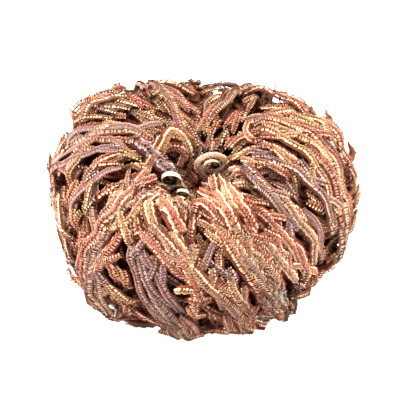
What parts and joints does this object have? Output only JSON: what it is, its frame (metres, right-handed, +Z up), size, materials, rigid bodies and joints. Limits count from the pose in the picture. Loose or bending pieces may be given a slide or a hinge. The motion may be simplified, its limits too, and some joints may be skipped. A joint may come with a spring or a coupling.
{
  "type": "rose of jericho",
  "caption": "Dry resurrection plant curled into a ball: rings of forked, scale-leaved fronds rise from a root crown and close over a hollow with coiled tips.",
  "frame": {"origin": "middle of the flat spot under the root crown that the plant rests on", "axes": "+Z up, from the root crown towards the hollow where the tips meet; +X towards the wider bulge; -Y is the side that the hollow leans to"},
  "size_m": [0.0794, 0.0734, 0.0527],
  "materials": {
    "root_crown": "woody stock and dark wiry roots, rough and matt",
    "heart": "packed young fronds in shade, dark reddish brown, matt",
    "outer_frond": "scale leaves with terracotta backs and pale straw edges, dry and matt",
    "middle_frond": "scale leaves with red-brown backs and straw edges, dry and matt",
    "inner_frond": "older scale leaves, brown, dry and matt",
    "loose_frond": "worn mauve-grey stems with flattened scales, slightly smoother",
    "coiled_tip": "pale cream undersides of curled tips, matt with a faint sheen"
  },
  "bodies": {
    "root": {"root_crown": "root_crown", "heart": "heart", "outer_frond_01": "outer_frond", "outer_frond_02": "outer_frond", "outer_frond_03": "outer_frond", "outer_frond_04": "outer_frond", "outer_frond_05": "outer_frond", "outer_frond_06": "outer_frond", "outer_frond_07": "outer_frond", "outer_frond_08": "outer_frond", "outer_frond_09": "outer_frond", "outer_frond_10": "outer_frond", "outer_frond_11": "outer_frond", "outer_frond_12": "outer_frond", "outer_frond_13": "outer_frond", "outer_frond_14": "outer_frond", "middle_frond_01": "middle_frond", "middle_frond_02": "middle_frond", "middle_frond_03": "middle_frond", "middle_frond_04": "middle_frond", "middle_frond_05": "middle_frond", "middle_frond_06": "middle_frond", "middle_frond_07": "middle_frond", "middle_frond_08": "middle_frond", "middle_frond_09": "middle_frond", "middle_frond_10": "middle_frond", "middle_frond_11": "middle_frond", "middle_frond_12": "middle_frond", "inner_frond_01": "inner_frond", "inner_frond_02": "inner_frond", "inner_frond_03": "inner_frond", "inner_frond_04": "inner_frond", "inner_frond_05": "inner_frond", "inner_frond_06": "inner_frond", "inner_frond_07": "inner_frond", "inner_frond_08": "inner_frond", "inner_frond_09": "inner_frond", "inner_frond_10": "inner_frond", "loose_frond_1": "loose_frond", "loose_frond_2": "loose_frond", "loose_frond_3": "loose_frond", "loose_frond_4": "loose_frond", "loose_frond_5": "loose_frond", "loose_frond_6": "loose_frond", "loose_frond_7": "loose_frond", "loose_frond_8": "loose_frond", "coiled_tip_1": "coiled_tip", "coiled_tip_2": "coiled_tip", "coiled_tip_3": "coiled_tip"}
  },
  "joints": []
}
